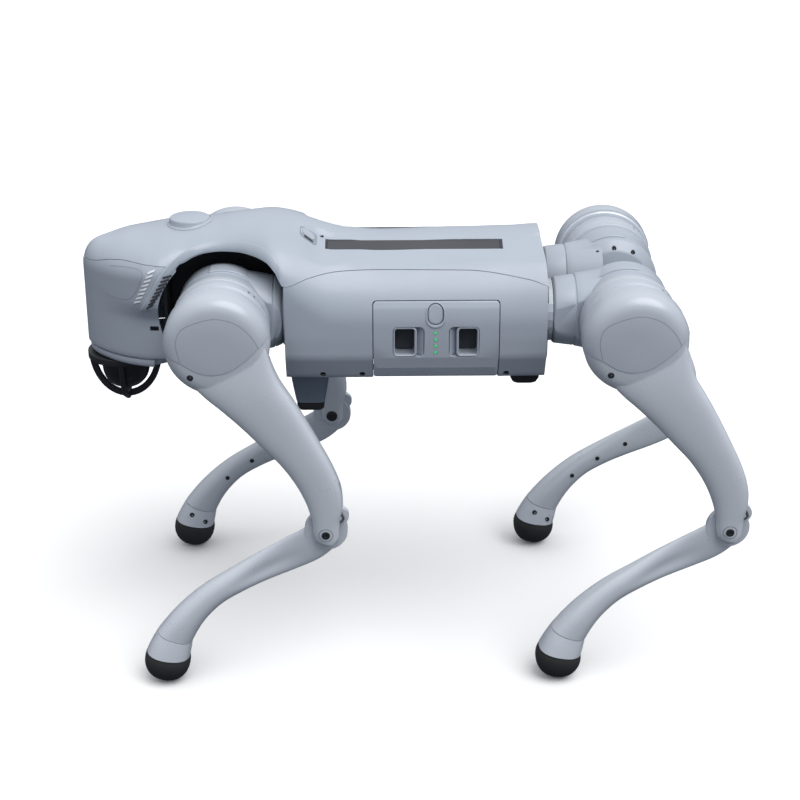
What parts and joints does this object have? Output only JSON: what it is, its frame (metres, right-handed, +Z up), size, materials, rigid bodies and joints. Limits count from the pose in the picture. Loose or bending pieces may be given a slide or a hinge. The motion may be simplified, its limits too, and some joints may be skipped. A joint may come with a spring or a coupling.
{
  "type": "quadruped robot",
  "caption": "Four-legged walking robot with jointed legs, ball feet, a removable battery in its side and a caged scanner under its head.",
  "frame": {"origin": "ground plane under the middle of the whole robot, standing at rest", "axes": "+X towards the nose, +Y to the robot's left, +Z up"},
  "size_m": [0.6481, 0.3282, 0.4364],
  "materials": {
    "shell_grey": "satin",
    "leg_silver": "satin",
    "motor_grey": "satin",
    "dark_rail": "matt",
    "black_plastic": "satin",
    "black_glass": "gloss",
    "rubber_black": "matt",
    "pad_slate": "satin",
    "steel": "satin"
  },
  "bodies": {
    "trunk": {"top_cover": "shell_grey", "side_cover_left": "shell_grey", "side_cover_right": "shell_grey", "rail_left": "dark_rail", "rail_right": "dark_rail", "face_shell": "shell_grey", "chin_ring": "shell_grey", "antenna_puck": "shell_grey", "chassis": "black_plastic", "belly_pad_front": "pad_slate", "belly_sole_front": "rubber_black", "belly_pad_rear": "rubber_black", "lidar_core": "black_glass", "lidar_cage": "black_plastic", "abduction_motor_front_left": "motor_grey", "abduction_motor_front_right": "motor_grey", "abduction_motor_rear_left": "motor_grey", "abduction_motor_rear_right": "motor_grey"},
    "battery": {"battery_pack": "shell_grey"},
    "button": {"power_button": "shell_grey"},
    "hip_front_left": {"hip_link_front_left": "shell_grey", "thigh_motor_front_left": "motor_grey"},
    "thigh_front_left": {"thigh_outer_front_left": "leg_silver", "thigh_inner_front_left": "leg_silver", "knee_motor_front_left": "motor_grey"},
    "crank_front_left": {"knee_crank_front_left": "steel"},
    "rod_front_left": {"knee_rod_front_left": "steel"},
    "shin_front_left": {"shin_front_left": "leg_silver", "ankle_front_left": "leg_silver", "foot_front_left": "rubber_black"},
    "hip_front_right": {"hip_link_front_right": "shell_grey", "thigh_motor_front_right": "motor_grey"},
    "thigh_front_right": {"thigh_outer_front_right": "leg_silver", "thigh_inner_front_right": "leg_silver", "knee_motor_front_right": "motor_grey"},
    "crank_front_right": {"knee_crank_front_right": "steel"},
    "rod_front_right": {"knee_rod_front_right": "steel"},
    "shin_front_right": {"shin_front_right": "leg_silver", "ankle_front_right": "leg_silver", "foot_front_right": "rubber_black"},
    "hip_rear_left": {"hip_link_rear_left": "shell_grey", "thigh_motor_rear_left": "motor_grey"},
    "thigh_rear_left": {"thigh_outer_rear_left": "leg_silver", "thigh_inner_rear_left": "leg_silver", "knee_motor_rear_left": "motor_grey"},
    "crank_rear_left": {"knee_crank_rear_left": "steel"},
    "rod_rear_left": {"knee_rod_rear_left": "steel"},
    "shin_rear_left": {"shin_rear_left": "leg_silver", "ankle_rear_left": "leg_silver", "foot_rear_left": "rubber_black"},
    "hip_rear_right": {"hip_link_rear_right": "shell_grey", "thigh_motor_rear_right": "motor_grey"},
    "thigh_rear_right": {"thigh_outer_rear_right": "leg_silver", "thigh_inner_rear_right": "leg_silver", "knee_motor_rear_right": "motor_grey"},
    "crank_rear_right": {"knee_crank_rear_right": "steel"},
    "rod_rear_right": {"knee_rod_rear_right": "steel"},
    "shin_rear_right": {"shin_rear_right": "leg_silver", "ankle_rear_right": "leg_silver", "foot_rear_right": "rubber_black"}
  },
  "joints": [
    {"name": "battery_slide", "type": "slide", "parent": "trunk", "child": "battery", "axis": [0, 1, 0], "range_m": [0, 0.16]},
    {"name": "power_button_press", "type": "slide", "parent": "battery", "child": "button", "axis": [0, -1, 0], "range_m": [0, 0.0015], "stiffness_N_per_m": 600, "springref_m": -0.001},
    {"name": "hip_roll_front_left", "type": "hinge", "parent": "trunk", "child": "hip_front_left", "pos_m": [0.18245, 0.0465, 0.35245], "axis": [1, 0, 0], "range_deg": [-38, 38]},
    {"name": "hip_swing_front_left", "type": "hinge", "parent": "hip_front_left", "child": "thigh_front_left", "pos_m": [0.18245, 0.142, 0.35245], "axis": [0, -1, 0], "range_deg": [-80, 115]},
    {"name": "knee_bend_front_left", "type": "hinge", "parent": "thigh_front_left", "child": "shin_front_left", "pos_m": [0.08476, 0.142, 0.16317], "axis": [0, 1, 0], "range_deg": [-76, 28]},
    {"name": "crank_turn_front_left", "type": "hinge", "parent": "thigh_front_left", "child": "crank_front_left", "pos_m": [0.18245, 0.142, 0.35245], "axis": [0, 1, 0], "range_deg": [-76, 28]},
    {"name": "rod_pivot_front_left", "type": "hinge", "parent": "crank_front_left", "child": "rod_front_left", "pos_m": [0.16925, 0.142, 0.36748], "axis": [0, 1, 0], "range_deg": [-28, 76]},
    {"name": "hip_roll_front_right", "type": "hinge", "parent": "trunk", "child": "hip_front_right", "pos_m": [0.18245, -0.0465, 0.35245], "axis": [1, 0, 0], "range_deg": [-38, 38]},
    {"name": "hip_swing_front_right", "type": "hinge", "parent": "hip_front_right", "child": "thigh_front_right", "pos_m": [0.18245, -0.142, 0.35245], "axis": [0, -1, 0], "range_deg": [-80, 115]},
    {"name": "knee_bend_front_right", "type": "hinge", "parent": "thigh_front_right", "child": "shin_front_right", "pos_m": [0.08476, -0.142, 0.16317], "axis": [0, 1, 0], "range_deg": [-76, 28]},
    {"name": "crank_turn_front_right", "type": "hinge", "parent": "thigh_front_right", "child": "crank_front_right", "pos_m": [0.18245, -0.142, 0.35245], "axis": [0, 1, 0], "range_deg": [-76, 28]},
    {"name": "rod_pivot_front_right", "type": "hinge", "parent": "crank_front_right", "child": "rod_front_right", "pos_m": [0.16925, -0.142, 0.36748], "axis": [0, 1, 0], "range_deg": [-28, 76]},
    {"name": "hip_roll_rear_left", "type": "hinge", "parent": "trunk", "child": "hip_rear_left", "pos_m": [-0.20435, 0.0465, 0.35245], "axis": [1, 0, 0], "range_deg": [-38, 38]},
    {"name": "hip_swing_rear_left", "type": "hinge", "parent": "hip_rear_left", "child": "thigh_rear_left", "pos_m": [-0.20435, 0.142, 0.35245], "axis": [0, 1, 0], "range_deg": [-25, 230]},
    {"name": "knee_bend_rear_left", "type": "hinge", "parent": "thigh_rear_left", "child": "shin_rear_left", "pos_m": [-0.30204, 0.142, 0.16317], "axis": [0, 1, 0], "range_deg": [-76, 28]},
    {"name": "crank_turn_rear_left", "type": "hinge", "parent": "thigh_rear_left", "child": "crank_rear_left", "pos_m": [-0.20435, 0.142, 0.35245], "axis": [0, 1, 0], "range_deg": [-76, 28]},
    {"name": "rod_pivot_rear_left", "type": "hinge", "parent": "crank_rear_left", "child": "rod_rear_left", "pos_m": [-0.21755, 0.142, 0.36748], "axis": [0, 1, 0], "range_deg": [-28, 76]},
    {"name": "hip_roll_rear_right", "type": "hinge", "parent": "trunk", "child": "hip_rear_right", "pos_m": [-0.20435, -0.0465, 0.35245], "axis": [1, 0, 0], "range_deg": [-38, 38]},
    {"name": "hip_swing_rear_right", "type": "hinge", "parent": "hip_rear_right", "child": "thigh_rear_right", "pos_m": [-0.20435, -0.142, 0.35245], "axis": [0, 1, 0], "range_deg": [-25, 230]},
    {"name": "knee_bend_rear_right", "type": "hinge", "parent": "thigh_rear_right", "child": "shin_rear_right", "pos_m": [-0.30204, -0.142, 0.16317], "axis": [0, 1, 0], "range_deg": [-76, 28]},
    {"name": "crank_turn_rear_right", "type": "hinge", "parent": "thigh_rear_right", "child": "crank_rear_right", "pos_m": [-0.20435, -0.142, 0.35245], "axis": [0, 1, 0], "range_deg": [-76, 28]},
    {"name": "rod_pivot_rear_right", "type": "hinge", "parent": "crank_rear_right", "child": "rod_rear_right", "pos_m": [-0.21755, -0.142, 0.36748], "axis": [0, 1, 0], "range_deg": [-28, 76]}
  ],
  "couplings": [
    {"joint": "crank_turn_front_left", "follows": "knee_bend_front_left", "ratio": 1},
    {"joint": "rod_pivot_front_left", "follows": "knee_bend_front_left", "ratio": -1},
    {"joint": "crank_turn_front_right", "follows": "knee_bend_front_right", "ratio": 1},
    {"joint": "rod_pivot_front_right", "follows": "knee_bend_front_right", "ratio": -1},
    {"joint": "crank_turn_rear_left", "follows": "knee_bend_rear_left", "ratio": 1},
    {"joint": "rod_pivot_rear_left", "follows": "knee_bend_rear_left", "ratio": -1},
    {"joint": "crank_turn_rear_right", "follows": "knee_bend_rear_right", "ratio": 1},
    {"joint": "rod_pivot_rear_right", "follows": "knee_bend_rear_right", "ratio": -1}
  ]
}
